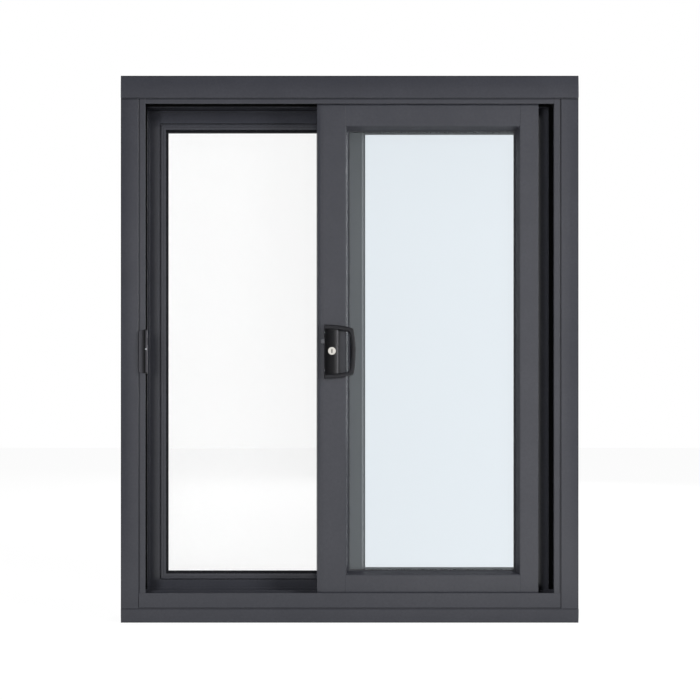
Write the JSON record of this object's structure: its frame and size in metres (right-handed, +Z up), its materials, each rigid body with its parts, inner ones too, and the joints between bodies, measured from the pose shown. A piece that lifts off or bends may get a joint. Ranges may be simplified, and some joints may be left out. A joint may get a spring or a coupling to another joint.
{
  "type": "horizontal sliding window",
  "caption": "Dark grey aluminium sliding window with a glazed sash on rollers, a fixed light, an insect screen and a black pull handle with a latch.",
  "frame": {"origin": "centre of the sill's underside, at mid width and mid depth of the frame", "axes": "+X to the right seen from the room, +Y towards the outside, +Z up"},
  "size_m": [1, 0.1245, 1.195],
  "materials": {
    "frame_coat": "satin",
    "float_glass": "polished",
    "rubber_seal": "matte",
    "woven_wire": "satin",
    "nylon": "satin",
    "zinc_plated_steel": "satin",
    "black_coat": "satin",
    "satin_nickel": "satin"
  },
  "bodies": {
    "frame": {"head": "frame_coat", "sill": "frame_coat", "left_jamb": "frame_coat", "right_jamb": "frame_coat", "keeper": "frame_coat", "fixed_interlock_stile": "frame_coat", "fixed_jamb_stile": "frame_coat", "fixed_top_rail": "frame_coat", "fixed_bottom_rail": "frame_coat", "fixed_beads": "frame_coat", "fixed_gaskets": "rubber_seal", "fixed_glass": "float_glass", "screen_left_stile": "frame_coat", "screen_right_stile": "frame_coat", "screen_top_rail": "frame_coat", "screen_bottom_rail": "frame_coat", "screen_spline": "rubber_seal", "screen_mesh": "woven_wire"},
    "sash": {"sash_lock_stile": "frame_coat", "sash_interlock_stile": "frame_coat", "sash_top_rail": "frame_coat", "sash_bottom_rail": "frame_coat", "sash_beads": "frame_coat", "sash_gaskets": "rubber_seal", "sash_glass": "float_glass", "roller_wheels": "nylon", "roller_carriages": "zinc_plated_steel", "handle_base": "black_coat", "handle_body": "black_coat", "handle_grip": "black_coat", "latch_tongue": "black_coat", "lock_cylinder": "satin_nickel"}
  },
  "joints": [
    {"name": "sash_slide", "type": "slide", "parent": "frame", "child": "sash", "axis": [1, 0, 0], "range_m": [-0.381, 0.043]}
  ]
}
